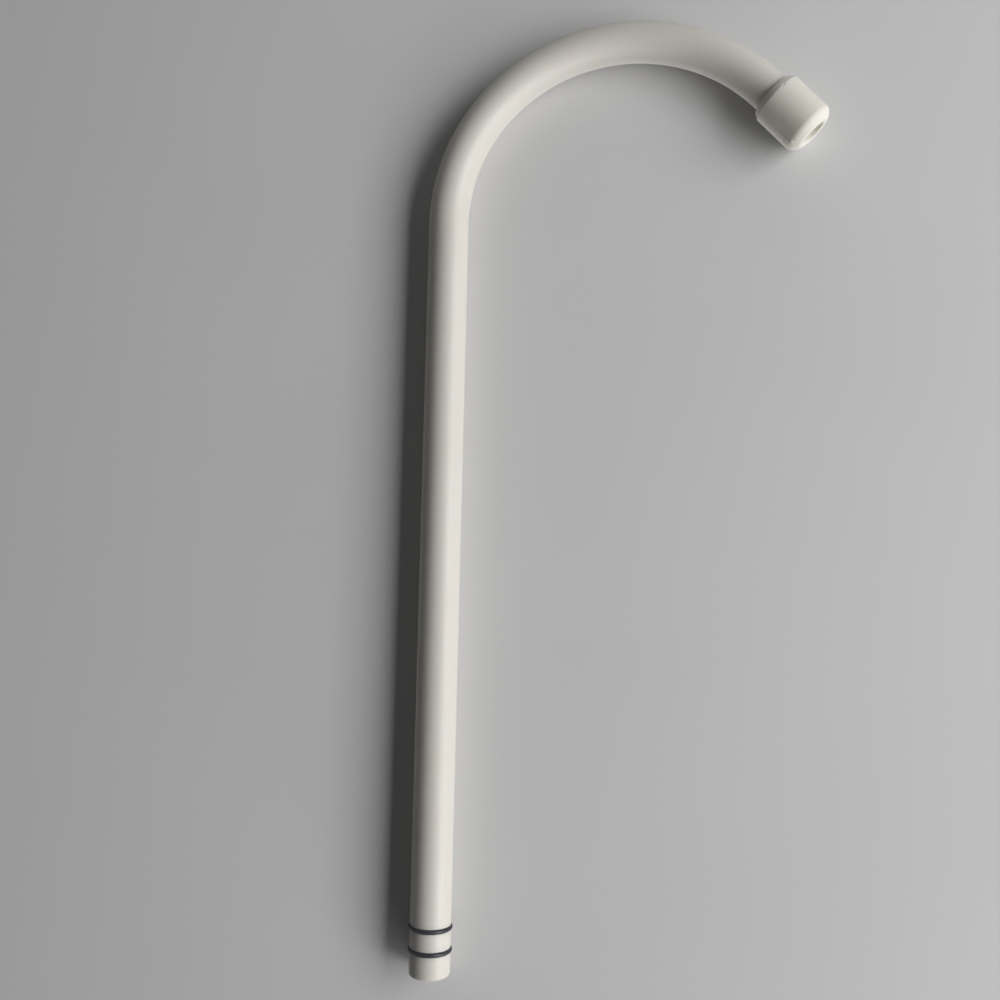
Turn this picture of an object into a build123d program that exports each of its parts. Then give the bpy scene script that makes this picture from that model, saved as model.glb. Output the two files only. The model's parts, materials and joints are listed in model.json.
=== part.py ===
from build123d import *
import math
import os

# Water filter spout: a swan-neck plastic tube that plugs into a filter head by its foot.
# The origin is the centre of the foot's end face. +Z runs up the straight tube, which is
# also the line that the spout swivels about, and the neck bends towards +X.
# All sizes are in millimetres.

# Tube
TUBE_DIAMETER = 12.0
TUBE_BORE = 7.5
STRAIGHT_HEIGHT = 223.5
BEND_RADIUS = 56.0
BEND_ANGLE = 136.0
OUTLET_STRAIGHT = 1.5
FOOT_EDGE_RADIUS = 1.0
BORE_EDGE_CHAMFER = 0.4
TUBE_END_CHAMFER = 0.5

# Rings at the foot
RING_SECTION = 1.3
RING_STAND_OUT = 0.5
LOWER_RING_HEIGHT = 7.4
RING_SPACING = 6.4
GROOVE_SIDE_PLAY = 0.04
GROOVE_FLOOR_PLAY = 0.02

# Nozzle cap
NOZZLE_WALL = 1.95
NOZZLE_FRONT_WALL = 3.8
NOZZLE_CONE_WIDTH = 2.2
NOZZLE_CONE_LENGTH = 1.9
NOZZLE_SHOULDER_RADIUS = 2.4
NOZZLE_FACE_RADIUS = 2.2
NOZZLE_BACK_CHAMFER_WIDTH = 1.0
NOZZLE_BACK_CHAMFER_LENGTH = 1.8
SOCKET_DEPTH = 10.0
SOCKET_PLAY = 0.05
SOCKET_LEAD_IN = 0.35
TUBE_END_GAP = 0.2
OUTLET_HOLE = 8.0

# Ring inside the nozzle, squeezed between the tube's groove and the nozzle's socket
SEAL_FROM_TUBE_END = 4.8
SEAL_SQUEEZE = 0.38
SEAL_PLAY = 0.03

# Flow straightener
STRAIGHTENER_SHOULDER = 0.53
STRAIGHTENER_THICKNESS = 3.0
STRAIGHTENER_PLAY = 0.02
STRAIGHTENER_END_PLAY = 0.2
STRAIGHTENER_EDGE_CHAMFER = 0.3
STRAIGHTENER_HOLE = 1.3
STRAIGHTENER_PITCH = 1.75
STRAIGHTENER_HOLE_RINGS = 2

# Worked out from the sizes above
TUBE_RADIUS = TUBE_DIAMETER / 2
BORE_RADIUS = TUBE_BORE / 2
SOCKET_RADIUS = TUBE_RADIUS + SOCKET_PLAY
NOZZLE_RADIUS = SOCKET_RADIUS + NOZZLE_WALL
TUBE_IN_NOZZLE = SOCKET_DEPTH - TUBE_END_GAP
CHAMBER_RADIUS = SOCKET_RADIUS - STRAIGHTENER_SHOULDER
CHAMBER_DEPTH = STRAIGHTENER_THICKNESS + STRAIGHTENER_END_PLAY
STRAIGHTENER_RADIUS = CHAMBER_RADIUS - STRAIGHTENER_PLAY
NOZZLE_LENGTH = SOCKET_DEPTH + CHAMBER_DEPTH + NOZZLE_FRONT_WALL
RING_HEIGHTS = (LOWER_RING_HEIGHT, LOWER_RING_HEIGHT + RING_SPACING)
RING_GROOVE_WIDTH = RING_SECTION + 2 * GROOVE_SIDE_PLAY
RING_INNER_RADIUS = TUBE_RADIUS + RING_STAND_OUT - RING_SECTION
RING_GROOVE_RADIUS = RING_INNER_RADIUS - GROOVE_FLOOR_PLAY

# The squeezed ring keeps the area of its round section
SEAL_DEPTH = TUBE_IN_NOZZLE - SEAL_FROM_TUBE_END
SEAL_HEIGHT = RING_SECTION - SEAL_SQUEEZE
SEAL_WIDTH = SEAL_HEIGHT + math.pi / 4 * (RING_SECTION**2 - SEAL_HEIGHT**2) / SEAL_HEIGHT
SEAL_OUTER_RADIUS = SOCKET_RADIUS - SEAL_PLAY
SEAL_GROOVE_RADIUS = SEAL_OUTER_RADIUS - SEAL_HEIGHT - GROOVE_FLOOR_PLAY
SEAL_GROOVE_WIDTH = SEAL_WIDTH + 2 * GROOVE_SIDE_PLAY

ON_BASE = (Align.CENTER, Align.CENTER, Align.MIN)
CUT_OVER = 1.0
SAME_PLACE = 1e-4
HEXAGON_CORNER = 60.0


def bend_end():
    """The plane across the tube where its bend ends, facing the way the water leaves."""
    turn = math.radians(BEND_ANGLE)
    x = BEND_RADIUS * (1 - math.cos(turn))
    z = STRAIGHT_HEIGHT + BEND_RADIUS * math.sin(turn)
    return Plane(origin=(x, 0, z), x_dir=(0, 1, 0), z_dir=(math.sin(turn), 0, math.cos(turn)))


def nozzle_seat():
    """The plane of the nozzle's back face, on the tube's outlet end."""
    return bend_end().offset(OUTLET_STRAIGHT)


def swan_neck(radius, end_length):
    """A solid rod that follows the tube's centre line."""
    rise = Cylinder(radius, STRAIGHT_HEIGHT, align=ON_BASE)
    section = Plane.XY.offset(STRAIGHT_HEIGHT) * Circle(radius)
    bend_axis = Axis((BEND_RADIUS, 0, STRAIGHT_HEIGHT), (0, 1, 0))
    bend = revolve(section, bend_axis, revolution_arc=BEND_ANGLE)
    end = bend_end() * Cylinder(radius, end_length, align=ON_BASE)
    return rise + bend + end


def groove(plane, floor_radius, width):
    """The ring of material that a groove takes out of the tube, centred on a plane."""
    outside = Cylinder(TUBE_RADIUS + CUT_OVER, width)
    return plane * (outside - Cylinder(floor_radius, width))


def edge_ring(shape, plane, radius):
    """The round edge of a shape that lies on a plane, centred on it, at a radius."""
    wanted = []
    for edge in shape.edges().filter_by(GeomType.CIRCLE):
        offset = plane.to_local_coords(edge.arc_center)
        if offset.length < SAME_PLACE and abs(edge.radius - radius) < SAME_PLACE:
            wanted.append(edge)
    return wanted


def spout_tube():
    end_length = OUTLET_STRAIGHT + TUBE_IN_NOZZLE
    tube = swan_neck(TUBE_RADIUS, end_length) - swan_neck(BORE_RADIUS, end_length)
    end_plane = bend_end().offset(end_length)
    tube = fillet(edge_ring(tube, Plane.XY, TUBE_RADIUS), FOOT_EDGE_RADIUS)
    tube = chamfer(edge_ring(tube, Plane.XY, BORE_RADIUS), BORE_EDGE_CHAMFER)
    tube = chamfer(edge_ring(tube, end_plane, TUBE_RADIUS), TUBE_END_CHAMFER)
    for height in RING_HEIGHTS:
        tube -= groove(Plane.XY.offset(height), RING_GROOVE_RADIUS, RING_GROOVE_WIDTH)
    tube -= groove(nozzle_seat().offset(SEAL_DEPTH), SEAL_GROOVE_RADIUS, SEAL_GROOVE_WIDTH)
    return tube


def foot_ring(height):
    """A rubber ring in its groove, standing out of the tube all round."""
    ring = Torus(RING_INNER_RADIUS + RING_SECTION / 2, RING_SECTION / 2)
    return Plane.XY.offset(height) * ring


def nozzle_o_ring():
    """The same kind of ring, squeezed to a flat-sided section between groove and socket."""
    middle = SEAL_OUTER_RADIUS - SEAL_HEIGHT / 2
    section = Plane.XZ * Pos(middle, 0) * SlotOverall(SEAL_WIDTH, SEAL_HEIGHT, rotation=90)
    return nozzle_seat().offset(SEAL_DEPTH) * revolve(section, Axis.Z)


def nozzle_cap():
    seat = nozzle_seat()
    cap = Cylinder(NOZZLE_RADIUS, NOZZLE_LENGTH, align=ON_BASE)
    front_face = cap.faces().sort_by(Axis.Z)[-1]
    front_edge = front_face.edges()[0]
    cap = chamfer(front_edge, NOZZLE_CONE_WIDTH, NOZZLE_CONE_LENGTH, reference=front_face)
    shoulder = edge_ring(cap, Plane.XY.offset(NOZZLE_LENGTH - NOZZLE_CONE_LENGTH), NOZZLE_RADIUS)
    cap = fillet(shoulder, NOZZLE_SHOULDER_RADIUS)
    face_edge = edge_ring(cap, Plane.XY.offset(NOZZLE_LENGTH), NOZZLE_RADIUS - NOZZLE_CONE_WIDTH)
    cap = fillet(face_edge, NOZZLE_FACE_RADIUS)
    back_face = cap.faces().sort_by(Axis.Z)[0]
    back_edge = back_face.edges()[0]
    cap = chamfer(back_edge, NOZZLE_BACK_CHAMFER_WIDTH, NOZZLE_BACK_CHAMFER_LENGTH, reference=back_face)
    cap -= Cylinder(SOCKET_RADIUS, SOCKET_DEPTH, align=ON_BASE)
    cap -= Cylinder(CHAMBER_RADIUS, SOCKET_DEPTH + CHAMBER_DEPTH, align=ON_BASE)
    cap -= Cylinder(OUTLET_HOLE / 2, NOZZLE_LENGTH + CUT_OVER, align=ON_BASE)
    cap = chamfer(edge_ring(cap, Plane.XY, SOCKET_RADIUS), SOCKET_LEAD_IN)
    return seat * cap


def straightener_holes():
    """Centres of the flow holes, in a six-sided pattern round a middle hole."""
    centres = []
    row_step = STRAIGHTENER_PITCH * math.sin(math.radians(HEXAGON_CORNER))
    for row in range(-STRAIGHTENER_HOLE_RINGS, STRAIGHTENER_HOLE_RINGS + 1):
        count = 2 * STRAIGHTENER_HOLE_RINGS + 1 - abs(row)
        for place in range(count):
            x = (place - (count - 1) / 2) * STRAIGHTENER_PITCH
            centres.append((x, row * row_step))
    return centres


def flow_straightener():
    disc = Cylinder(STRAIGHTENER_RADIUS, STRAIGHTENER_THICKNESS, align=ON_BASE)
    disc = chamfer(disc.edges().filter_by(GeomType.CIRCLE), STRAIGHTENER_EDGE_CHAMFER)
    drill = Cylinder(STRAIGHTENER_HOLE / 2, STRAIGHTENER_THICKNESS, align=ON_BASE)
    for x, y in straightener_holes():
        disc -= Pos(x, y, 0) * drill
    return nozzle_seat().offset(SOCKET_DEPTH + STRAIGHTENER_END_PLAY) * disc


PIECES = {
    "spout_tube": spout_tube(),
    "o_ring_lower": foot_ring(RING_HEIGHTS[0]),
    "o_ring_upper": foot_ring(RING_HEIGHTS[1]),
    "nozzle_cap": nozzle_cap(),
    "nozzle_o_ring": nozzle_o_ring(),
    "flow_straightener": flow_straightener(),
}

os.makedirs("parts", exist_ok=True)
for name, shape in PIECES.items():
    export_step(shape, "parts/" + name + ".step")
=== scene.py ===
"""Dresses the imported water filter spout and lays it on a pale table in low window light."""

import json
import math

import bmesh
import bpy
from bpy.props import FloatProperty, FloatVectorProperty, IntProperty, PointerProperty
from mathutils import Matrix, Vector


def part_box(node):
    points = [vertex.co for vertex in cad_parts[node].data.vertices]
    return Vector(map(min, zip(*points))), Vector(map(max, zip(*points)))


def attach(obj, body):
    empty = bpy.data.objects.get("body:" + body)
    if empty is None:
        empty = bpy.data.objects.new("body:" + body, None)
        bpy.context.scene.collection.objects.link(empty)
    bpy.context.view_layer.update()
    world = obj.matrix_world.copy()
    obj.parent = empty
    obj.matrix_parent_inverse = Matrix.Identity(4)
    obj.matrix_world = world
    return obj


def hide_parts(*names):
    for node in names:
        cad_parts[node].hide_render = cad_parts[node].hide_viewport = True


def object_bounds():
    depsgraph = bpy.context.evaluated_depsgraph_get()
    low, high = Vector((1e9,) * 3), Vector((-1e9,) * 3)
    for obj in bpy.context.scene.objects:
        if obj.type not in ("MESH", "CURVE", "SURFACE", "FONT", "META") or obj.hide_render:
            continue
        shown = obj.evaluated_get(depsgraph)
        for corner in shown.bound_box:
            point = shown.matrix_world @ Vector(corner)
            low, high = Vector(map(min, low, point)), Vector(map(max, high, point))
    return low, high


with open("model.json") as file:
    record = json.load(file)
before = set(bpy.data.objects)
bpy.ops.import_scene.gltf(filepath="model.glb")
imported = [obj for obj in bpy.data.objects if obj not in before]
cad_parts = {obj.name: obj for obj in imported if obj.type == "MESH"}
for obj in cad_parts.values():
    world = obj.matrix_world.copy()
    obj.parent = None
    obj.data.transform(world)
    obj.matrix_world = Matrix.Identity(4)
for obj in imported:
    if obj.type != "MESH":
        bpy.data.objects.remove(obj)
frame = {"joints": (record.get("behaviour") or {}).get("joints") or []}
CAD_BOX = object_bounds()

bl_info = {
    "name": "Water Filter Spout",
    "version": (1, 0, 0),
    "blender": (4, 5, 0),
    "location": "3D View > Sidebar > Spout",
    "description": "Makes the pieces of a swan-neck water filter spout round its packed frame",
    "category": "Add Mesh",
}

MM = 0.001
CAD_MIDDLE = (CAD_BOX[0] + CAD_BOX[1]) / 2
PULL_OFF_AXIS = Vector(frame["joints"][0]["axis"])
LOWER_RING_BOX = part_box("o_ring_lower")
UPPER_RING_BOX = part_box("o_ring_upper")
NOZZLE_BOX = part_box("nozzle_cap")
TUBE_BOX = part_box("spout_tube")
NECK_PLACE = "neck_place"

# How finely meshes are cut
ARC_STEP = math.radians(15)
FRONT_ARC_STEP = math.radians(1.5)
SEAL_ARC_STEP = math.radians(11.25)
BEND_STEP = math.radians(1.5)
STRAIGHT_STEP = 6 * MM
NOZZLE_STEP = 0.8 * MM
EDGE_SUPPORT = 0.12 * MM
TUBE_COLUMNS = 96
NOZZLE_COLUMNS = 128
RING_COLUMNS = 128
RING_SECTION_POINTS = 32
HOLE_SIDES = 24
DISC_CREASE = math.radians(35)
FIT_SLACK = 0.06 * MM
DOUBLES_WITHIN = 0.001 * MM

# Marks on the nozzle, by their angle round it and their length from its back
NOZZLE_LINE_ANGLE = math.radians(-20.5)
NICK_ANGLE = math.radians(-97)
GATE_LENGTH = 14.83 * MM

# The lamps' widths and heights, and their places in the frame
WINDOW_SIZE = (1.44, 0.62)
WINDOW_PLACE = (0.995, -0.66, 0.11)
LOW_LAMP_SIZE = (1.33, 0.41)
SIDE_WINDOW_PLACE = (0.843, -0.278, -0.646)
CEILING_PLACE = (0.053, -0.278, 1.259)
REAR_FILL_SIZE = (0.6, 0.8)
REAR_FILL_PLACE = (-0.05, 0.72, 0.15)

# The table's half width, and how far from the spout it fades into the backdrop
TABLE_REACH = 1.2
FADE_START = 0.4
FADE_END = 0.85

# The camera's sensor in millimetres, and the nearest and farthest that it sees in metres
SENSOR_WIDTH = 36
NEAREST_SEEN = 0.01
FARTHEST_SEEN = 20

# What light does in a plastic: refraction, and how far red, green and blue go, as shares
PLASTIC_IOR = 1.49
RUBBER_IOR = 1.52
PLASTIC_SCATTER = (0.9, 0.8, 0.6)


def length(name, description, default):
    """A size in metres that a user may change."""
    return FloatProperty(
        name=name, description=description, default=default, min=0, subtype="DISTANCE", precision=5
    )


def colour(name, description, default):
    """A colour that a user may change."""
    return FloatVectorProperty(
        name=name, description=description, default=default, size=3, min=0, max=1, subtype="COLOR"
    )


class NeckSizes(bpy.types.PropertyGroup):
    """The centre line that every piece is set on."""

    straight_height: length("Straight height", "From the foot to the start of the bend", 223.5 * MM)
    bend_radius: length("Bend radius", "Of the centre line", 56 * MM)
    bend_angle: FloatProperty(
        name="Bend angle",
        description="How far the neck turns over, from the way the nozzle pulls off",
        default=math.atan2(PULL_OFF_AXIS.x, PULL_OFF_AXIS.z),
        subtype="ANGLE",
    )
    outlet_straight: length("Outlet straight", "From the end of the bend to the nozzle", 1.5 * MM)


class TubeSizes(bpy.types.PropertyGroup):
    """The moulded swan-neck tube."""

    diameter: length("Diameter", "Outside, from the frame", TUBE_BOX[1].y - TUBE_BOX[0].y)
    bore: length("Bore", "Waterway diameter", 7.5 * MM)
    in_nozzle: length("In nozzle", "Length of the tube inside the nozzle", 9.8 * MM)
    foot_rounding: length("Foot rounding", "Of the foot's outer edge", 1.0 * MM)
    bore_chamfer: length("Bore chamfer", "At the foot", 0.4 * MM)
    end_chamfer: length("End chamfer", "Outside, at the outlet end", 0.5 * MM)
    groove_floor: length("Groove floor radius", "Under each foot ring", 5.18 * MM)
    seal_groove_floor: length("Seal groove floor radius", "Under the squeezed ring", 5.08 * MM)
    groove_play: length("Groove side play", "Each side of a ring", 0.04 * MM)
    edge_rounding: length("Edge rounding", "Of the grooves' edges and ends", 0.1 * MM)
    line_depth: length("Parting line depth", "How far the wall sinks beside the parting line", 0.03 * MM)


class RingSizes(bpy.types.PropertyGroup):
    """The rubber rings."""

    section: length("Section", "Thickness of a free ring", UPPER_RING_BOX[1].z - UPPER_RING_BOX[0].z)
    outer_radius: length("Outer radius", "Of the foot rings", LOWER_RING_BOX[1].y)
    lower_height: length(
        "Lower ring height", "Above the foot", (LOWER_RING_BOX[0].z + LOWER_RING_BOX[1].z) / 2
    )
    upper_height: length(
        "Upper ring height", "Above the foot", (UPPER_RING_BOX[0].z + UPPER_RING_BOX[1].z) / 2
    )
    flash_depth: length("Flash depth", "How far the rubber sinks beside its mould line", 0.015 * MM)
    seal_depth: length("Seal depth", "From the nozzle's back to the squeezed ring", 5.0 * MM)
    seal_outer: length("Seal outer radius", "Of the squeezed ring", 6.02 * MM)
    seal_height: length("Seal height", "Of the squeezed ring's section", 0.92 * MM)
    seal_width: length("Seal width", "Of the squeezed ring's section", 1.64 * MM)


class NozzleSizes(bpy.types.PropertyGroup):
    """The cap over the tube's outlet end."""

    radius: length("Radius", "Outside, from the frame", NOZZLE_BOX[1].y)
    overall: length("Length", "Along the way the water leaves", 17.0 * MM)
    back_chamfer_width: length("Back chamfer width", "Across", 1.0 * MM)
    back_chamfer_length: length("Back chamfer length", "Along", 1.8 * MM)
    cone_width: length("Front cone width", "Across", 2.2 * MM)
    cone_length: length("Front cone length", "Along", 1.9 * MM)
    shoulder_rounding: length("Shoulder rounding", "Where the side meets the cone", 2.4 * MM)
    face_rounding: length("Face rounding", "Where the cone meets the flat face", 2.2 * MM)
    socket_radius: length("Socket radius", "Round the tube", 6.05 * MM)
    socket_depth: length("Socket depth", "From the back", 10 * MM)
    lead_in: length("Lead-in", "Chamfer at the mouth of the socket", 0.35 * MM)
    chamber_radius: length("Chamber radius", "Round the straightener", 5.52 * MM)
    chamber_depth: length("Chamber depth", "Beyond the socket", 3.2 * MM)
    outlet_hole: length("Outlet hole", "Diameter", 8.0 * MM)
    outlet_rounding: length("Outlet rounding", "Of the hole's outer edge", 0.3 * MM)
    edge_rounding: length("Edge rounding", "Of the small edges", 0.15 * MM)


class StraightenerSizes(bpy.types.PropertyGroup):
    """The pierced disc behind the outlet hole."""

    radius: length("Radius", "Outside", 5.5 * MM)
    thickness: length("Thickness", "Along the flow", 3.0 * MM)
    depth: length("Depth", "From the nozzle's back", 10.2 * MM)
    edge_chamfer: length("Edge chamfer", "Outside, both faces", 0.3 * MM)
    hole: length("Hole", "Diameter of each flow hole", 1.3 * MM)
    pitch: length("Pitch", "Between neighbouring holes", 1.75 * MM)
    mouth: length("Hole mouth", "Chamfer at each hole's ends", 0.12 * MM)
    hole_rings: IntProperty(
        name="Hole rings", description="Rings of holes round the middle one", default=2, min=0
    )


class Finishes(bpy.types.PropertyGroup):
    """Colours of the plastics and the rubber."""

    tube: colour("Tube", "Off-white satin plastic", (0.758, 0.728, 0.675))
    nozzle: colour("Nozzle", "Cream white plastic", (0.848, 0.824, 0.758))
    straightener: colour("Straightener", "Plain white plastic", (0.8, 0.8, 0.78))
    rubber: colour("Rubber", "Black rubber", (0.024, 0.025, 0.034))
    table: colour("Table", "Pale grey table top", (0.755, 0.755, 0.755))
    table_glow: colour("Table glow", "What the table throws back on the spout", (0.45, 0.45, 0.45))


class StageSettings(bpy.types.PropertyGroup):
    """Camera and lamps."""

    camera_place: FloatVectorProperty(
        name="Camera place",
        description="In the frame that the CAD model and the poses share",
        default=(0.05376, -0.30266, 0.11428),
        subtype="XYZ",
        precision=5,
    )
    camera_turn: FloatVectorProperty(
        name="Camera turn",
        description="Pitch, roll and heading of a camera that starts level along +Y",
        default=(math.radians(4.563), math.radians(-1.258), math.radians(6.797)),
        subtype="EULER",
    )
    focal_length: FloatProperty(
        name="Focal length", description="In millimetres, on the sensor", default=36.78, unit="CAMERA"
    )
    window_power: FloatProperty(name="Window", description="Power of the main soft lamp", default=12.6)
    side_power: FloatProperty(name="Side window", description="Power of the low soft lamp", default=4.7)
    ceiling_power: FloatProperty(name="Ceiling", description="Power of the lamp above", default=1.2)
    rear_power: FloatProperty(name="Rear fill", description="Power of the lamp behind", default=2.0)
    room: FloatProperty(name="Room", description="Light of the world on everything", default=0.028)
    backdrop: FloatProperty(name="Backdrop", description="World seen past the table", default=0.45)


class SpoutSettings(bpy.types.PropertyGroup):
    """Everything that the spout's operators read."""

    neck: PointerProperty(type=NeckSizes)
    tube: PointerProperty(type=TubeSizes)
    rings: PointerProperty(type=RingSizes)
    nozzle: PointerProperty(type=NozzleSizes)
    straightener: PointerProperty(type=StraightenerSizes)
    finishes: PointerProperty(type=Finishes)
    stage: PointerProperty(type=StageSettings)


# Node trees


def find_socket(sockets, key):
    """A socket by its number, its identifier or its name."""
    if isinstance(key, int):
        return sockets[key]
    for socket in sockets:
        if socket.identifier == key:
            return socket
    return sockets[key]


class Term:
    """A node's output, which can be used in sums: each one adds its Math node."""

    def __init__(self, bench, socket):
        self.bench = bench
        self.socket = socket

    def out(self, key):
        """Another output of the same node."""
        return Term(self.bench, find_socket(self.socket.node.outputs, key))

    def maths(self, operation, *others):
        """This value and others, joined by one Math node."""
        return self.bench.maths(operation, self, *others)

    def smooth(self, low, high, at_low=0.0, at_high=1.0):
        """Goes smoothly from one value to another while this one goes from low to high."""
        return self.bench.add(
            "ShaderNodeMapRange",
            {"interpolation_type": "SMOOTHSTEP"},
            {"Value": self, "From Min": low, "From Max": high, "To Min": at_low, "To Max": at_high},
        )

    def __add__(self, other):
        return self.maths("ADD", other)

    __radd__ = __add__

    def __sub__(self, other):
        return self.maths("SUBTRACT", other)

    def __rsub__(self, other):
        return self.bench.maths("SUBTRACT", other, self)

    def __mul__(self, other):
        return self.maths("MULTIPLY", other)

    __rmul__ = __mul__

    def __truediv__(self, other):
        return self.maths("DIVIDE", other)

    def __rtruediv__(self, other):
        return self.bench.maths("DIVIDE", other, self)


class Bench:
    """Adds nodes to one tree."""

    def __init__(self, tree):
        self.tree = tree
        tree.nodes.clear()

    def add(self, kind, settings=None, inputs=None, output=0):
        """A node of a kind, with its settings and the values or links of its sockets."""
        made = self.tree.nodes.new(kind)
        for name, value in (settings or {}).items():
            setattr(made, name, value)
        for key, value in (inputs or {}).items():
            socket = find_socket(made.inputs, key)
            for part in value if isinstance(value, list) else [value]:
                if isinstance(part, Term):
                    self.tree.links.new(part.socket, socket)
                else:
                    socket.default_value = part
        return Term(self, find_socket(made.outputs, output)) if len(made.outputs) else None

    def maths(self, operation, *terms):
        """One Math node over values and numbers."""
        return self.add("ShaderNodeMath", {"operation": operation}, dict(enumerate(terms)))

    def noise(self, place, scale, detail=2.0, roughness=0.5):
        """A noise value on a place vector, with its scale in cells per metre."""
        inputs = {"Vector": place, "Scale": scale, "Detail": detail, "Roughness": roughness}
        return self.add("ShaderNodeTexNoise", {}, inputs)

    def stretched(self, place, across, along):
        """A place vector scaled across the piece and along its length."""
        return self.add("ShaderNodeMapping", {}, {"Vector": place, "Scale": (across, across, along)})

    def mixed(self, factor, first, second):
        """One colour turned into another by a factor."""
        inputs = {"Factor_Float": factor, "A_Color": first, "B_Color": second}
        return self.add("ShaderNodeMix", {"data_type": "RGBA"}, inputs, "Result_Color")


def opaque(rgb, share=1.0):
    """A colour and its alpha, darkened to a share."""
    return (rgb[0] * share, rgb[1] * share, rgb[2] * share, 1.0)


def new_tree(name, inputs):
    """A Geometry Nodes tree with named inputs, and its bench and input terms."""
    tree = bpy.data.node_groups.new(name, "GeometryNodeTree")
    for label, kind in inputs:
        tree.interface.new_socket(name=label, in_out="INPUT", socket_type=kind)
    tree.interface.new_socket(name="Geometry", in_out="OUTPUT", socket_type="NodeSocketGeometry")
    bench = Bench(tree)
    given = bench.add("NodeGroupInput")
    return tree, bench, {label: given.out(label) for label, kind in inputs}


def close_tree(bench, geometry, material):
    """Ends a tree in Realize Instances and Set Material."""
    real = bench.add("GeometryNodeRealizeInstances", {}, {"Geometry": geometry})
    painted = bench.add("GeometryNodeSetMaterial", {}, {"Geometry": real, "Material": material})
    bench.add("NodeGroupOutput", {}, {"Geometry": painted})


def neck_path_tree():
    """Bends a piece that was made straight along Z onto the spout's centre line."""
    number = "NodeSocketFloat"
    tree, bench, given = new_tree(
        "Neck path",
        (
            ("Geometry", "NodeSocketGeometry"),
            ("Straight Height", number),
            ("Bend Radius", number),
            ("Bend Angle", number),
            ("Material", "NodeSocketMaterial"),
        ),
    )
    place = bench.add("GeometryNodeInputPosition")
    kept = bench.add(
        "GeometryNodeStoreNamedAttribute",
        {"data_type": "FLOAT_VECTOR", "domain": "POINT"},
        {"Geometry": given["Geometry"], "Name": NECK_PLACE, "Value": place},
    )
    across = bench.add("ShaderNodeSeparateXYZ", {}, {"Vector": place}, "X")
    sideways = across.out("Y")
    beyond = across.out("Z") - given["Straight Height"]
    turn = (beyond / given["Bend Radius"]).maths("MAXIMUM", 0.0).maths("MINIMUM", given["Bend Angle"])
    rest = beyond - given["Bend Radius"] * turn
    cosine = turn.maths("COSINE")
    sine = turn.maths("SINE")
    x = given["Bend Radius"] * (1.0 - cosine) + rest * sine + across * cosine
    z = given["Straight Height"] + given["Bend Radius"] * sine + rest * cosine - across * sine
    bent = bench.add("ShaderNodeCombineXYZ", {}, {"X": x, "Y": sideways, "Z": z})
    moved = bench.add("GeometryNodeSetPosition", {}, {"Geometry": kept, "Position": bent})
    close_tree(bench, moved, given["Material"])
    return tree


def flow_holes_tree():
    """Drills a six-sided pattern of holes with chamfered mouths through a disc on Z."""
    number = "NodeSocketFloat"
    tree, bench, given = new_tree(
        "Flow holes",
        (
            ("Geometry", "NodeSocketGeometry"),
            ("Back Height", number),
            ("Thickness", number),
            ("Hole Diameter", number),
            ("Hole Pitch", number),
            ("Mouth", number),
            ("Hole Rings", "NodeSocketInt"),
            ("Material", "NodeSocketMaterial"),
        ),
    )
    over = 0.1 * MM
    rings = given["Hole Rings"]
    grid_side = rings * 2.0
    grid = bench.add(
        "GeometryNodeMeshGrid",
        {},
        {
            "Size X": grid_side,
            "Size Y": grid_side,
            "Vertices X": grid_side + 1.0,
            "Vertices Y": grid_side + 1.0,
        },
    )
    place = bench.add("GeometryNodeInputPosition")
    step = bench.add("ShaderNodeSeparateXYZ", {}, {"Vector": place}, "X")
    row = step.out("Y")
    outside = (step + row).maths("ABSOLUTE").maths("GREATER_THAN", rings + 0.5)
    hexagon = bench.add(
        "GeometryNodeDeleteGeometry", {"domain": "POINT"}, {"Geometry": grid, "Selection": outside}
    )
    centre = bench.add(
        "ShaderNodeCombineXYZ",
        {},
        {
            "X": row * given["Hole Pitch"] * math.sin(math.radians(60)),
            "Y": (step + row / 2.0) * given["Hole Pitch"],
            "Z": given["Back Height"] + given["Thickness"] / 2.0,
        },
    )
    centres = bench.add("GeometryNodeSetPosition", {}, {"Geometry": hexagon, "Position": centre})
    hole_radius = given["Hole Diameter"] / 2.0
    shaft = bench.add(
        "GeometryNodeMeshCylinder",
        {},
        {"Vertices": HOLE_SIDES, "Side Segments": 3, "Radius": hole_radius, "Depth": 2.0},
    )
    # The drill has four levels, at -1, -1/3, 1/3 and 1: its ends flare, its middle stays straight
    height = step.out("Z")
    at_end = height.maths("ABSOLUTE").maths("GREATER_THAN", 0.5)
    flare = at_end * (given["Mouth"] + over)
    widening = flare / hole_radius + 1.0
    half = given["Thickness"] / 2.0 - given["Mouth"] + flare
    flared = bench.add(
        "ShaderNodeCombineXYZ",
        {},
        {"X": step * widening, "Y": row * widening, "Z": height.maths("SIGN") * half},
    )
    drill = bench.add("GeometryNodeSetPosition", {}, {"Geometry": shaft, "Position": flared})
    drills = bench.add("GeometryNodeInstanceOnPoints", {}, {"Points": centres, "Instance": drill})
    real_drills = bench.add("GeometryNodeRealizeInstances", {}, {"Geometry": drills})
    drilled = bench.add(
        "GeometryNodeMeshBoolean",
        {"operation": "DIFFERENCE", "solver": "EXACT"},
        {"Mesh 1": given["Geometry"], "Mesh 2": real_drills},
    )
    merged = bench.add(
        "GeometryNodeMergeByDistance", {}, {"Geometry": drilled, "Distance": DOUBLES_WITHIN}
    )
    close_tree(bench, merged, given["Material"])
    return tree


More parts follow.
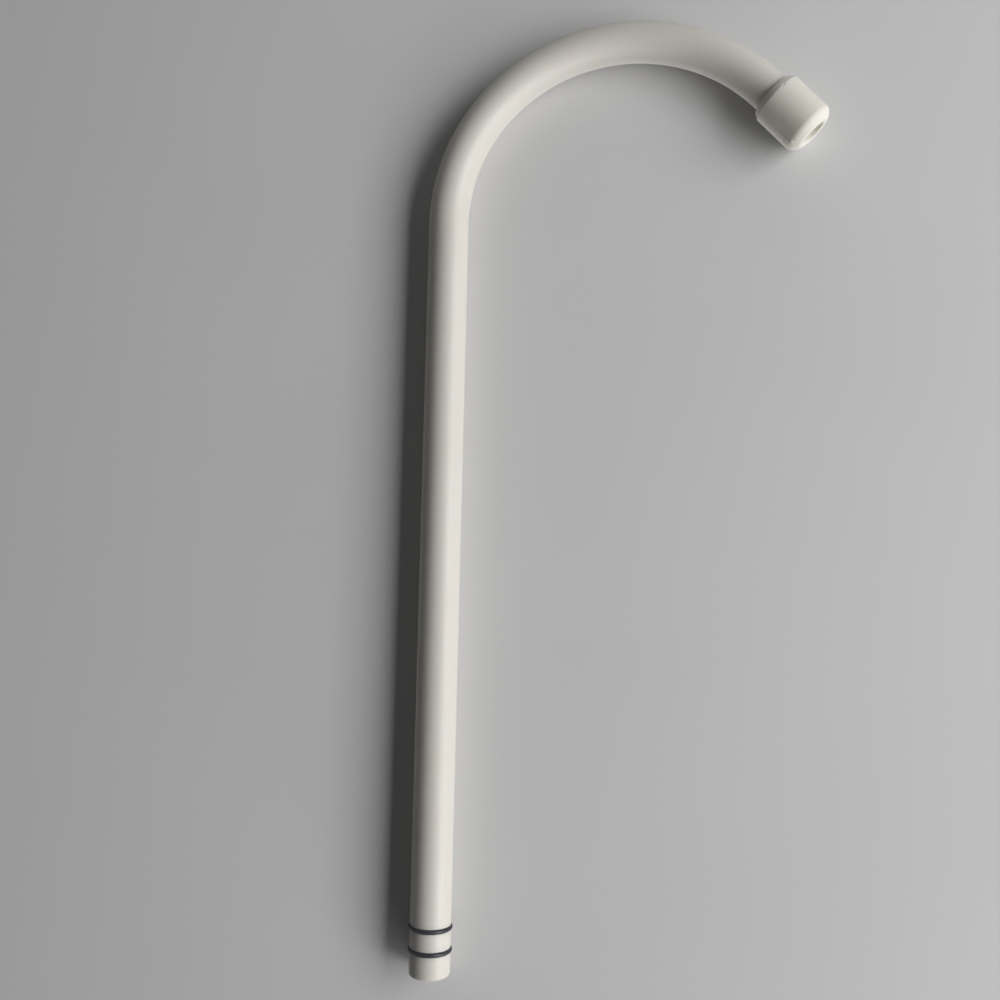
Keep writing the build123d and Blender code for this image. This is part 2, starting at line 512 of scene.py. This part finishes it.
def apply_tree(piece, tree, values):
    """Runs a tree on a piece with values by input name, and keeps the result as its plain mesh."""
    modifier = piece.modifiers.new(tree.name, "NODES")
    modifier.node_group = tree
    for item in tree.interface.items_tree:
        if item.in_out == "INPUT" and item.name in values:
            modifier[item.identifier] = values[item.name]
    graph = bpy.context.evaluated_depsgraph_get()
    graph.update()
    made = bpy.data.meshes.new_from_object(
        piece.evaluated_get(graph), preserve_all_data_layers=True, depsgraph=graph
    )
    piece.modifiers.clear()
    plain = piece.data
    piece.data = made
    bpy.data.meshes.remove(plain)
    made.name = piece.name
    return piece


# Mesh code


def turn_between(first, second):
    """The turn from one angle to another, from -pi to pi."""
    return (second - first + math.pi) % math.tau - math.pi


def ramp(value, stops):
    """The value of a piecewise straight line through (place, height) stops."""
    if value <= stops[0][0]:
        return stops[0][1]
    for (start, low), (end, high) in zip(stops, stops[1:]):
        if value <= end:
            return low + (high - low) * (value - start) / (end - start)
    return stops[-1][1]


def round_corner(before, corner, after):
    """The points of one outline corner, rounded by the radius, and in the arc step, that it gives."""
    here = Vector(corner[:2])
    rounding = corner[2]
    if not rounding:
        return [here]
    back = (Vector(before[:2]) - here).normalized()
    ahead = (Vector(after[:2]) - here).normalized()
    opening = back.angle(ahead)
    step = corner[3] if len(corner) > 3 else ARC_STEP
    steps = max(2, math.ceil((math.pi - opening) / step))
    centre = here + (back + ahead).normalized() * rounding / math.sin(opening / 2)
    spoke = here + back * rounding / math.tan(opening / 2) - centre
    end_spoke = here + ahead * rounding / math.tan(opening / 2) - centre
    sweep = math.pi - opening
    if spoke.x * end_spoke.y - spoke.y * end_spoke.x < 0:
        sweep = -sweep
    return [centre + Matrix.Rotation(sweep * k / steps, 2) @ spoke for k in range(steps + 1)]


def points_between(start, end, stations):
    """Points inside one straight run of an outline: one near each end, and at the stations."""
    run = end - start
    if run.length < 4 * EDGE_SUPPORT:
        return []
    near = EDGE_SUPPORT / run.length
    shares = [near, 1 - near]
    if abs(run.y) > EDGE_SUPPORT:
        for station in stations:
            share = (station - start.y) / run.y
            if 2 * near < share < 1 - 2 * near:
                shares.append(share)
    return [start + run * share for share in sorted(shares)]


def closed_outline(corners, stations=()):
    """A closed outline from corners (radius, length, rounding), some with their own arc step."""
    count = len(corners)
    arcs = [
        round_corner(corners[k - 1], corners[k], corners[(k + 1) % count]) for k in range(count)
    ]
    outline = []
    for k, arc in enumerate(arcs):
        outline += arc + points_between(arc[-1], arcs[(k + 1) % count][0], stations)
    return outline


def angles_round(count, radius, lines=()):
    """Evenly spaced angles, with closer ones at the given offsets beside each line."""
    even = math.tau / count
    angles = [even * k for k in range(count)]
    for line, offsets in lines:
        reach = max(offsets) / radius + even / 3
        angles = [angle for angle in angles if abs(turn_between(angle, line)) > reach]
        angles += [line + side * offset / radius for offset in offsets for side in (-1, 1) if offset]
        angles.append(line)
    return sorted(angle % math.tau for angle in angles)


def turned_piece(name, outline, angles, relief=None):
    """A closed outline turned round Z, as a new object; relief lifts or sinks its surface."""
    mesh = bmesh.new()
    columns = []
    for angle in angles:
        column = []
        for radius, height in outline:
            reach = radius + (relief(angle, height, radius) if relief else 0)
            column.append(mesh.verts.new((reach * math.cos(angle), reach * math.sin(angle), height)))
        columns.append(column)
    for column, following in zip(columns, columns[1:] + columns[:1]):
        for k in range(len(column)):
            above = (k + 1) % len(column)
            mesh.faces.new((column[k], following[k], following[above], column[above]))
    bmesh.ops.recalc_face_normals(mesh, faces=mesh.faces)
    data = bpy.data.meshes.new(name)
    mesh.to_mesh(data)
    mesh.free()
    piece = bpy.data.objects.new(name, data)
    bpy.context.scene.collection.objects.link(piece)
    return piece


def neck_stations(neck):
    """Lengths along the centre line where the tube's mesh is cut."""
    straight = [STRAIGHT_STEP * k for k in range(1, int(neck.straight_height / STRAIGHT_STEP))]
    turns = math.ceil(neck.bend_angle / BEND_STEP)
    bend = [
        neck.straight_height + neck.bend_radius * neck.bend_angle * k / turns
        for k in range(turns + 1)
    ]
    return straight + bend


def seat_length(neck):
    """Length along the centre line from the foot to the nozzle's back."""
    return neck.straight_height + neck.bend_radius * neck.bend_angle + neck.outlet_straight


def follow_neck(piece, neck, material):
    """Bends a straight piece onto the spout's centre line and gives it its material."""
    tree = bpy.data.node_groups.get("Neck path") or neck_path_tree()
    values = {
        "Straight Height": neck.straight_height,
        "Bend Radius": neck.bend_radius,
        "Bend Angle": neck.bend_angle,
        "Material": material,
    }
    return apply_tree(piece, tree, values)


def smooth_faces(piece, crease=None):
    """Shades a piece smooth, apart from edges sharper than a crease angle."""
    piece.data.shade_smooth()
    if crease is not None:
        piece.data.set_sharp_from_angle(angle=crease)


def set_on_frame(piece, node, body):
    """Puts a finished piece in the place of its CAD node, once its box is the node's."""
    low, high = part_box(node)
    points = [vertex.co for vertex in piece.data.vertices]
    for axis in range(3):
        lowest = min(point[axis] for point in points)
        highest = max(point[axis] for point in points)
        if abs(lowest - low[axis]) > FIT_SLACK or abs(highest - high[axis]) > FIT_SLACK:
            raise ValueError(
                f"{piece.name} spans {lowest:.5f} to {highest:.5f} on axis {axis},"
                f" and its node {node} spans {low[axis]:.5f} to {high[axis]:.5f}"
            )
    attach(piece, body)
    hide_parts(node)


# Materials


def new_material(name):
    """An empty node material and its bench."""
    material = bpy.data.materials.new(name)
    material.use_nodes = True
    return material, Bench(material.node_tree)


def close_material(bench, inputs):
    """Ends a material in one Principled shader."""
    surface = bench.add("ShaderNodeBsdfPrincipled", {}, inputs)
    bench.add("ShaderNodeOutputMaterial", {}, {"Surface": surface})


def bumped(bench, layers):
    """A normal that carries several height layers of (height, depth in metres)."""
    normal = None
    for height, depth in layers:
        inputs = {"Strength": 1.0, "Distance": depth, "Height": height}
        if normal is not None:
            inputs["Normal"] = normal
        normal = bench.add("ShaderNodeBump", {}, inputs)
    return normal


def tube_plastic(rgb, rings):
    """Satin off-white plastic with faint clouding, long handling marks, and painted shade beside each
    ring.
    """
    material, bench = new_material("tube_plastic_finish")
    place = bench.add("ShaderNodeAttribute", {"attribute_name": NECK_PLACE}, {}, "Vector")
    height = bench.add("ShaderNodeSeparateXYZ", {}, {"Vector": place}, "Z")
    cloud_tint = (rgb[0], rgb[1] * 0.992, rgb[2] * 0.975)
    # Grey of the painted shade that darkens the tube beside each ring
    ring_shade_colour = (0.34, 0.33, 0.33)
    handling_mark = (0.42, 0.4, 0.36)
    ring_shade_core = 0.9 * MM
    ring_shade_edge = 2.4 * MM
    cloud = bench.noise(place, scale=55, detail=3.0).smooth(0.3, 0.7)
    long_place = bench.stretched(place, across=1400, along=70)
    streak = bench.noise(long_place, scale=1, detail=2.0).smooth(0.6, 0.8)
    speck = bench.noise(place, scale=1700, detail=1.0).smooth(0.74, 0.8)
    # Painted shade: near each ring's middle the colour turns towards that grey, where shade falls at the
    # ring's joint with the tube
    ring_shade = 0.0
    for ring_height in (rings.lower_height, rings.upper_height):
        from_ring = (height - ring_height).maths("ABSOLUTE")
        ring_shade = from_ring.smooth(ring_shade_core, ring_shade_edge, at_low=1.0, at_high=0.0) + ring_shade
    ring_shade_share = ring_shade * cloud.smooth(0.0, 1.0, at_low=0.06, at_high=0.16)
    clouded = bench.mixed(cloud * 0.5, opaque(rgb), opaque(cloud_tint, 0.965))
    ring_shaded = bench.mixed(ring_shade_share, clouded, opaque(ring_shade_colour))
    marked = bench.mixed(streak * 0.05 + speck * 0.3, ring_shaded, opaque(handling_mark))
    grain = bench.noise(place, scale=3200, detail=2.0)
    waves = bench.noise(bench.stretched(place, across=260, along=60), scale=1, detail=1.0)
    close_material(
        bench,
        {
            "Base Color": marked,
            "Roughness": cloud * 0.06 + streak * 0.12 + 0.4,
            "IOR": PLASTIC_IOR,
            "Subsurface Weight": 0.12,
            "Subsurface Radius": PLASTIC_SCATTER,
            "Subsurface Scale": 1.2 * MM,
            "Normal": bumped(bench, ((waves, 0.02 * MM), (grain, 0.004 * MM))),
        },
    )
    return material


def nozzle_plastic(rgb):
    """Cream white plastic with a fine matt grain."""
    material, bench = new_material("nozzle_plastic_finish")
    place = bench.add("ShaderNodeAttribute", {"attribute_name": NECK_PLACE}, {}, "Vector")
    cloud_tint = (rgb[0], rgb[1] * 0.99, rgb[2] * 0.965)
    scuff_colour = (0.5, 0.48, 0.43)
    cloud = bench.noise(place, scale=160, detail=3.0).smooth(0.3, 0.7)
    grain = bench.noise(place, scale=4200, detail=3.0)
    wide_place = bench.stretched(place, across=300, along=900)
    scuff = bench.noise(wide_place, scale=1, detail=3.0).smooth(0.62, 0.8)
    clouded = bench.mixed(cloud * 0.6, opaque(rgb), opaque(cloud_tint, 0.96))
    scuffed = bench.mixed(scuff * 0.08, clouded, opaque(scuff_colour))
    close_material(
        bench,
        {
            "Base Color": scuffed,
            "Roughness": cloud * 0.05 + grain * 0.08 + scuff * 0.08 + 0.52,
            "IOR": PLASTIC_IOR,
            "Subsurface Weight": 0.5,
            "Subsurface Radius": PLASTIC_SCATTER,
            "Subsurface Scale": 2.2 * MM,
            "Normal": bumped(bench, ((grain, 0.008 * MM), (cloud, 0.01 * MM))),
        },
    )
    return material


def straightener_plastic(rgb):
    """Plain white plastic with fine moulding swirls."""
    material, bench = new_material("straightener_plastic_finish")
    place = bench.add("ShaderNodeAttribute", {"attribute_name": NECK_PLACE}, {}, "Vector")
    swirl = bench.noise(place, scale=420, detail=4.0, roughness=0.6).smooth(0.3, 0.7)
    grain = bench.noise(place, scale=5000, detail=2.0)
    close_material(
        bench,
        {
            "Base Color": bench.mixed(swirl, opaque(rgb), opaque(rgb, 0.93)),
            "Roughness": swirl * 0.08 + 0.38,
            "IOR": PLASTIC_IOR,
            "Normal": bumped(bench, ((grain, 0.004 * MM),)),
        },
    )
    return material


def seal_rubber(rgb):
    """Black rubber with a dusty bloom and a fine grain."""
    material, bench = new_material("seal_rubber_finish")
    place = bench.add("ShaderNodeTexCoord", {}, {}, "Object")
    bloom_colour = (0.055, 0.055, 0.06)
    dust_colour = (0.2, 0.2, 0.19)
    bloom = bench.noise(place, scale=700, detail=4.0, roughness=0.6).smooth(0.45, 0.75)
    dust = bench.noise(place, scale=6000, detail=1.0).smooth(0.7, 0.8)
    grain = bench.noise(place, scale=9000, detail=2.0)
    bloomed = bench.mixed(bloom * 0.5, opaque(rgb), opaque(bloom_colour))
    close_material(
        bench,
        {
            "Base Color": bench.mixed(dust * 0.35, bloomed, opaque(dust_colour)),
            "Roughness": bloom * 0.12 + 0.38,
            "IOR": RUBBER_IOR,
            "Sheen Weight": 0.04,
            "Sheen Roughness": 0.4,
            "Normal": bumped(bench, ((grain, 0.004 * MM), (bloom, 0.006 * MM))),
        },
    )
    return material


def seen_rays(bench):
    """1 for rays that look at a surface, 0 for those that only gather its light."""
    rays = bench.add("ShaderNodeLightPath", {}, {}, "Is Camera Ray")
    mirrored = rays.maths("MAXIMUM", rays.out("Is Glossy Ray"))
    return mirrored.maths("MAXIMUM", rays.out("Is Transmission Ray"))


def table_top(rgb, glow):
    """A pale satin table, unseen from behind, that fades into the backdrop far from the spout."""
    material, bench = new_material("table_top")
    place = bench.add("ShaderNodeTexCoord", {}, {}, "Object")
    mottle = bench.noise(place, scale=14, detail=3.0).smooth(0.3, 0.7)
    fleck = bench.noise(place, scale=900, detail=1.0).smooth(0.8, 0.84)
    shown_colour = bench.mixed(mottle * 0.5 + fleck * 0.4, opaque(rgb), opaque(rgb, 0.97))
    surface = bench.add(
        "ShaderNodeBsdfPrincipled",
        {},
        {
            "Base Color": bench.mixed(seen_rays(bench), opaque(glow), shown_colour),
            "Roughness": 0.6,
            "Specular IOR Level": 0.2,
        },
    )
    clear = bench.add("ShaderNodeBsdfTransparent")
    behind = bench.add("ShaderNodeNewGeometry", {}, {}, "Backfacing")
    ends = {0: place, 1: tuple(CAD_MIDDLE)}
    away = bench.add("ShaderNodeVectorMath", {"operation": "DISTANCE"}, ends, "Value")
    unseen = behind.maths("MAXIMUM", away.smooth(FADE_START, FADE_END))
    shown = bench.add("ShaderNodeMixShader", {}, {0: unseen, 1: surface, 2: clear})
    bench.add("ShaderNodeOutputMaterial", {}, {"Surface": shown})
    return material


def room_world(level, backdrop):
    """A dim even room, whose far walls look pale where they are seen."""
    world = bpy.data.worlds.new("Room")
    world.use_nodes = True
    bench = Bench(world.node_tree)
    lit = bench.add("ShaderNodeBackground", {}, {"Color": (1, 1, 1, 1), "Strength": level})
    pale = bench.add("ShaderNodeBackground", {}, {"Color": (1, 1, 1, 1), "Strength": backdrop})
    mixed = bench.add("ShaderNodeMixShader", {}, {0: seen_rays(bench), 1: lit, 2: pale})
    bench.add("ShaderNodeOutputWorld", {}, {"Surface": mixed})
    return world


# Pieces


class SPOUT_OT_tube(bpy.types.Operator):
    """Make the swan-neck tube, with its ring grooves and parting lines"""

    bl_idname = "spout.make_tube"
    bl_label = "Swan-neck tube"

    def execute(self, context):
        spout = context.scene.water_filter_spout
        neck, tube, rings = spout.neck, spout.tube, spout.rings
        wall = tube.diameter / 2
        bore = tube.bore / 2
        fine = tube.edge_rounding
        seat = seat_length(neck)
        end = seat + tube.in_nozzle
        corners = [(wall, 0, tube.foot_rounding)]
        grooves = [
            (rings.lower_height, rings.section, tube.groove_floor),
            (rings.upper_height, rings.section, tube.groove_floor),
            (seat + rings.seal_depth, rings.seal_width, tube.seal_groove_floor),
        ]
        for middle, width, floor in grooves:
            low = middle - width / 2 - tube.groove_play
            high = middle + width / 2 + tube.groove_play
            corners += [
                (wall, low, fine),
                (floor, low, fine),
                (floor, high, fine),
                (wall, high, fine),
            ]
        corners += [
            (wall, end - tube.end_chamfer, fine),
            (wall - tube.end_chamfer, end, fine),
            (bore, end, fine),
            (bore, tube.bore_chamfer, fine),
            (bore + tube.bore_chamfer, 0, fine),
        ]
        outline = closed_outline(corners, neck_stations(neck))
        lines = (0.0, math.pi)
        # Shares of the parting line's depth, by the way round from it and along the tube
        sink = ((0.06 * MM, 0.0), (0.12 * MM, 1.0), (0.3 * MM, 0.6), (0.6 * MM, 0.0))
        fades = ((2 * MM, 0.0), (4 * MM, 1.0), (seat - 2 * MM, 1.0), (seat, 0.0))

        def relief(angle, height, radius):
            if radius < wall - fine:
                return 0
            away = min(abs(turn_between(line, angle)) for line in lines) * wall
            return -tube.line_depth * ramp(away, sink) * ramp(height, fades)

        offsets = [0.0] + [offset for offset, share in sink]
        angles = angles_round(TUBE_COLUMNS, wall, [(line, offsets) for line in lines])
        piece = turned_piece("swan_neck_tube", outline, angles, relief)
        follow_neck(piece, neck, tube_plastic(spout.finishes.tube, rings))
        smooth_faces(piece)
        set_on_frame(piece, "spout_tube", "spout")
        return {"FINISHED"}


def rubber_finish(spout):
    """The one rubber that all rings share."""
    return bpy.data.materials.get("seal_rubber_finish") or seal_rubber(spout.finishes.rubber)


class SPOUT_OT_foot_rings(bpy.types.Operator):
    """Make the two rubber rings at the foot, with their mould lines"""

    bl_idname = "spout.make_foot_rings"
    bl_label = "Foot rings"

    def execute(self, context):
        spout = context.scene.water_filter_spout
        rings = spout.rings
        half = rings.section / 2
        # Shares of the flash's depth, by the way round from the mould line
        sink = ((0.03 * MM, 0.0), (0.06 * MM, 1.0), (0.12 * MM, 0.7), (0.24 * MM, 0.0))
        offsets = [0.0] + [offset for offset, share in sink]
        around = angles_round(RING_SECTION_POINTS, half, [(0.0, offsets), (math.pi, offsets)])
        turns = [math.tau * k / RING_COLUMNS for k in range(RING_COLUMNS)]
        middle = rings.outer_radius - half
        for level, height in (("lower", rings.lower_height), ("upper", rings.upper_height)):
            outline = []
            for angle in around:
                away = min(abs(turn_between(0, angle)), abs(turn_between(math.pi, angle))) * half
                reach = half - rings.flash_depth * ramp(away, sink)
                outline.append(
                    Vector((middle + reach * math.cos(angle), height + reach * math.sin(angle)))
                )
            piece = turned_piece("foot_ring_" + level, outline, turns)
            piece.data.materials.append(rubber_finish(spout))
            smooth_faces(piece)
            set_on_frame(piece, "o_ring_" + level, "spout")
        return {"FINISHED"}


class SPOUT_OT_nozzle_ring(bpy.types.Operator):
    """Make the squeezed ring between the tube's end and the nozzle"""

    bl_idname = "spout.make_nozzle_ring"
    bl_label = "Nozzle ring"

    def execute(self, context):
        spout = context.scene.water_filter_spout
        neck, rings = spout.neck, spout.rings
        middle = seat_length(neck) + rings.seal_depth
        inner = rings.seal_outer - rings.seal_height
        low = middle - rings.seal_width / 2
        high = middle + rings.seal_width / 2
        side_flat = 0.02 * MM
        rounding = (rings.seal_height - side_flat) / 2
        corners = [
            (rings.seal_outer, low, rounding, SEAL_ARC_STEP),
            (rings.seal_outer, high, rounding, SEAL_ARC_STEP),
            (inner, high, rounding, SEAL_ARC_STEP),
            (inner, low, rounding, SEAL_ARC_STEP),
        ]
        turns = [math.tau * k / RING_COLUMNS for k in range(RING_COLUMNS)]
        piece = turned_piece("nozzle_seal", closed_outline(corners), turns)
        follow_neck(piece, neck, rubber_finish(spout))
        smooth_faces(piece)
        set_on_frame(piece, "nozzle_o_ring", "spout")
        return {"FINISHED"}


class SPOUT_OT_nozzle_cap(bpy.types.Operator):
    """Make the nozzle cap, with its parting line, gate mark and nicked edge"""

    bl_idname = "spout.make_nozzle_cap"
    bl_label = "Nozzle cap"

    def execute(self, context):
        spout = context.scene.water_filter_spout
        neck, cap = spout.neck, spout.nozzle
        back = seat_length(neck)
        hole = cap.outlet_hole / 2
        fine = cap.edge_rounding
        inside = cap.socket_depth + cap.chamber_depth
        corners = [
            (cap.radius - cap.back_chamfer_width, 0, fine),
            (cap.radius, cap.back_chamfer_length, fine),
            (cap.radius, cap.overall - cap.cone_length, cap.shoulder_rounding, FRONT_ARC_STEP),
            (cap.radius - cap.cone_width, cap.overall, cap.face_rounding, FRONT_ARC_STEP),
            (hole, cap.overall, cap.outlet_rounding),
            (hole, inside, fine),
            (cap.chamber_radius, inside, fine),
            (cap.chamber_radius, cap.socket_depth, fine),
            (cap.socket_radius, cap.socket_depth, fine),
            (cap.socket_radius, cap.lead_in, fine),
            (cap.socket_radius + cap.lead_in, 0, fine),
        ]
        corners = [(corner[0], corner[1] + back, *corner[2:]) for corner in corners]
        line = NOZZLE_LINE_ANGLE
        opposite = line + math.pi
        gate_height = back + GATE_LENGTH
        chamfer_end = back + cap.back_chamfer_length
        relief_start = back + 1.0 * MM
        relief_within = cap.radius - cap.cone_width / 2
        bevel = cap.back_chamfer_width / cap.back_chamfer_length
        groove_depth = 0.2 * MM
        gate_rise = 0.28 * MM
        nick_depth = 0.45 * MM
        nick_slope = 1.5
        # Shares of each mark's depth or rise, by the distance from its middle
        groove = ((0.1 * MM, 1.0), (0.24 * MM, 0.0))
        gate = ((0.12 * MM, 1.0), (0.27 * MM, 0.8), (0.38 * MM, 0.4), (0.5 * MM, 0.0))
        bite = ((0.35 * MM, 1.0), (0.6 * MM, 0.6), (0.85 * MM, 0.0))
        # Shares of the groove's depth along the nozzle
        along = (
            (back + 1.9 * MM, 0.2),
            (back + 8.5 * MM, 0.25),
            (back + 10.4 * MM, 1.0),
            (back + 13.9 * MM, 1.0),
            (back + 14.3 * MM, 0.0),
        )

        def relief(angle, height, radius):
            if radius < relief_within or height < relief_start:
                return 0
            from_line = abs(turn_between(line, angle)) * radius
            from_opposite = abs(turn_between(opposite, angle)) * radius
            from_nick = abs(turn_between(NICK_ANGLE, angle)) * radius
            from_gate = math.hypot(from_line, height - gate_height)
            cut = groove_depth * ramp(min(from_line, from_opposite), groove) * ramp(height, along)
            bitten = nick_depth * ramp(from_nick, bite)
            to_side = chamfer_end + bitten - height
            to_chamfer = nick_slope * (height - chamfer_end) + bitten
            lost = max(0, min(bitten, to_side, to_chamfer))
            return gate_rise * ramp(from_gate, gate) - cut - bevel * lost

        # Where the mesh is cut beside each mark, and along the nozzle's back edge
        marks = [mark * MM for mark in (0.0, 0.05, 0.1, 0.17, 0.24, 0.31, 0.38, 0.44, 0.5, 0.58)]
        opposite_marks = marks[:5]
        nick_marks = [mark * MM for mark in (0.0, 0.18, 0.35, 0.48, 0.6, 0.72, 0.85)]
        lines = [(line, marks), (opposite, opposite_marks), (NICK_ANGLE, nick_marks)]
        side_steps = 16
        edge_cuts = (1.3, 1.45, 1.55, 1.65, 1.95, 2.05, 2.15, 2.25)
        stations = [back + NOZZLE_STEP * k for k in range(1, side_steps + 1)]
        stations += [back + cut * MM for cut in edge_cuts]
        outline = closed_outline(corners, sorted(stations))
        angles = angles_round(NOZZLE_COLUMNS, cap.radius, lines)
        piece = turned_piece("nozzle_body", outline, angles, relief)
        follow_neck(piece, neck, nozzle_plastic(spout.finishes.nozzle))
        smooth_faces(piece)
        set_on_frame(piece, "nozzle_cap", "nozzle")
        return {"FINISHED"}


class SPOUT_OT_straightener(bpy.types.Operator):
    """Make the pierced disc that smooths the stream"""

    bl_idname = "spout.make_straightener"
    bl_label = "Flow straightener"

    def execute(self, context):
        spout = context.scene.water_filter_spout
        neck, disc = spout.neck, spout.straightener
        back = seat_length(neck) + disc.depth
        front = back + disc.thickness
        fine = 0.08 * MM
        # The middle flow hole takes this hair-thin core away
        core = 0.02 * MM
        corners = [
            (disc.radius - disc.edge_chamfer, back, fine),
            (disc.radius, back + disc.edge_chamfer, fine),
            (disc.radius, front - disc.edge_chamfer, fine),
            (disc.radius - disc.edge_chamfer, front, fine),
            (core, front, 0),
            (core, back, 0),
        ]
        turns = [math.tau * k / TUBE_COLUMNS for k in range(TUBE_COLUMNS)]
        piece = turned_piece("flow_disc", closed_outline(corners), turns)
        material = straightener_plastic(spout.finishes.straightener)
        values = {
            "Back Height": back,
            "Thickness": disc.thickness,
            "Hole Diameter": disc.hole,
            "Hole Pitch": disc.pitch,
            "Mouth": disc.mouth,
            "Hole Rings": disc.hole_rings,
            "Material": material,
        }
        apply_tree(piece, flow_holes_tree(), values)
        follow_neck(piece, neck, material)
        smooth_faces(piece, DISC_CREASE)
        set_on_frame(piece, "flow_straightener", "nozzle")
        return {"FINISHED"}


def aimed(place, target):
    """A matrix that puts a lamp at a place, facing a target, its width level with the table."""
    away = (Vector(place) - Vector(target)).normalized()
    width = Vector((0, -1, 0)).cross(away).normalized()
    height = away.cross(width)
    turn = Matrix((width, height, away)).transposed().to_4x4()
    return Matrix.Translation(place) @ turn


def add_lamp(name, power, size, place):
    """A soft rectangular lamp that faces the spout's middle and that the camera doesn't see."""
    data = bpy.data.lights.new(name, "AREA")
    data.shape = "RECTANGLE"
    data.size, data.size_y = size
    data.energy = power
    lamp = bpy.data.objects.new(name, data)
    lamp.matrix_world = aimed(place, CAD_MIDDLE)
    lamp.visible_camera = False
    bpy.context.scene.collection.objects.link(lamp)
    return lamp


class SPOUT_OT_stage(bpy.types.Operator):
    """Make the table, the lamps, the room and the camera"""

    bl_idname = "spout.make_stage"
    bl_label = "Stage"

    def execute(self, context):
        spout = context.scene.water_filter_spout
        setup = spout.stage
        self.add_table(spout)
        add_lamp("Window", setup.window_power, WINDOW_SIZE, WINDOW_PLACE)
        add_lamp("Side window", setup.side_power, LOW_LAMP_SIZE, SIDE_WINDOW_PLACE)
        add_lamp("Ceiling", setup.ceiling_power, LOW_LAMP_SIZE, CEILING_PLACE)
        rear = add_lamp("Rear fill", setup.rear_power, REAR_FILL_SIZE, REAR_FILL_PLACE)
        # Light that went on from the spout's back would fill its shadow on the table
        rear.data.cycles.max_bounces = 0
        context.scene.world = room_world(setup.room, setup.backdrop)
        context.scene.view_settings.view_transform = "Standard"
        data = bpy.data.cameras.new("Camera")
        data.sensor_width = SENSOR_WIDTH
        data.lens = setup.focal_length
        data.clip_start = NEAREST_SEEN
        data.clip_end = FARTHEST_SEEN
        camera = bpy.data.objects.new("Camera", data)
        context.scene.collection.objects.link(camera)
        pitch, roll, heading = setup.camera_turn
        level = Matrix.Rotation(math.pi / 2, 4, "X")
        turn = (
            Matrix.Rotation(heading, 4, "Z")
            @ Matrix.Rotation(pitch, 4, "X")
            @ Matrix.Rotation(roll, 4, "Y")
        )
        camera.matrix_world = Matrix.Translation(setup.camera_place) @ turn @ level
        context.scene.camera = camera
        return {"FINISHED"}

    def add_table(self, spout):
        """A large flat table top through the three places that the spout rests on."""
        neck, rings, cap = spout.neck, spout.rings, spout.nozzle
        gap = 0.04 * MM
        past_bend_start = 5 * MM
        ring_touch = Vector((0, rings.outer_radius + gap, rings.upper_height))
        neck_height = neck.straight_height + past_bend_start
        neck_touch = Vector((0, spout.tube.diameter / 2 + gap, neck_height))
        cap_middle = (NOZZLE_BOX[0] + NOZZLE_BOX[1]) / 2
        cap_touch = Vector((cap_middle.x, cap.radius + gap, cap_middle.z))
        normal = (neck_touch - ring_touch).cross(cap_touch - ring_touch).normalized()
        corners = []
        for right, up in ((-1, -1), (1, -1), (1, 1), (-1, 1)):
            x = right * TABLE_REACH
            z = up * TABLE_REACH
            rise = (normal.x * (x - ring_touch.x) + normal.z * (z - ring_touch.z)) / normal.y
            corners.append((x, ring_touch.y - rise, z))
        data = bpy.data.meshes.new("table")
        data.from_pydata(corners, [], [(0, 1, 2, 3)])
        data.materials.append(table_top(spout.finishes.table, spout.finishes.table_glow))
        table = bpy.data.objects.new("table", data)
        table.visible_shadow = False
        bpy.context.scene.collection.objects.link(table)


class SPOUT_PT_panel(bpy.types.Panel):
    """Lists what the spout is made of"""

    bl_idname = "SPOUT_PT_panel"
    bl_label = "Water filter spout"
    bl_space_type = "VIEW_3D"
    bl_region_type = "UI"
    bl_category = "Spout"

    def draw(self, context):
        spout = context.scene.water_filter_spout
        for operator in OPERATORS:
            self.layout.operator(operator.bl_idname)
        for group in ("neck", "tube", "rings", "nozzle", "straightener", "finishes", "stage"):
            box = self.layout.box()
            box.label(text=group.capitalize())
            settings = getattr(spout, group)
            for name in settings.__annotations__:
                box.prop(settings, name)


OPERATORS = (
    SPOUT_OT_stage,
    SPOUT_OT_tube,
    SPOUT_OT_foot_rings,
    SPOUT_OT_nozzle_ring,
    SPOUT_OT_nozzle_cap,
    SPOUT_OT_straightener,
)
CLASSES = (
    NeckSizes,
    TubeSizes,
    RingSizes,
    NozzleSizes,
    StraightenerSizes,
    Finishes,
    StageSettings,
    SpoutSettings,
    *OPERATORS,
    SPOUT_PT_panel,
)


def register():
    """Adds the add-on's classes and its settings to Blender."""
    for cls in CLASSES:
        bpy.utils.register_class(cls)
    bpy.types.Scene.water_filter_spout = PointerProperty(type=SpoutSettings)


def unregister():
    """Takes the add-on's settings and classes out of Blender."""
    del bpy.types.Scene.water_filter_spout
    for cls in reversed(CLASSES):
        bpy.utils.unregister_class(cls)


def main():
    """Makes the stage and every piece."""
    register()
    bpy.ops.spout.make_stage()
    bpy.ops.spout.make_tube()
    bpy.ops.spout.make_foot_rings()
    bpy.ops.spout.make_nozzle_ring()
    bpy.ops.spout.make_nozzle_cap()
    bpy.ops.spout.make_straightener()


if __name__ == "__main__":
    main()
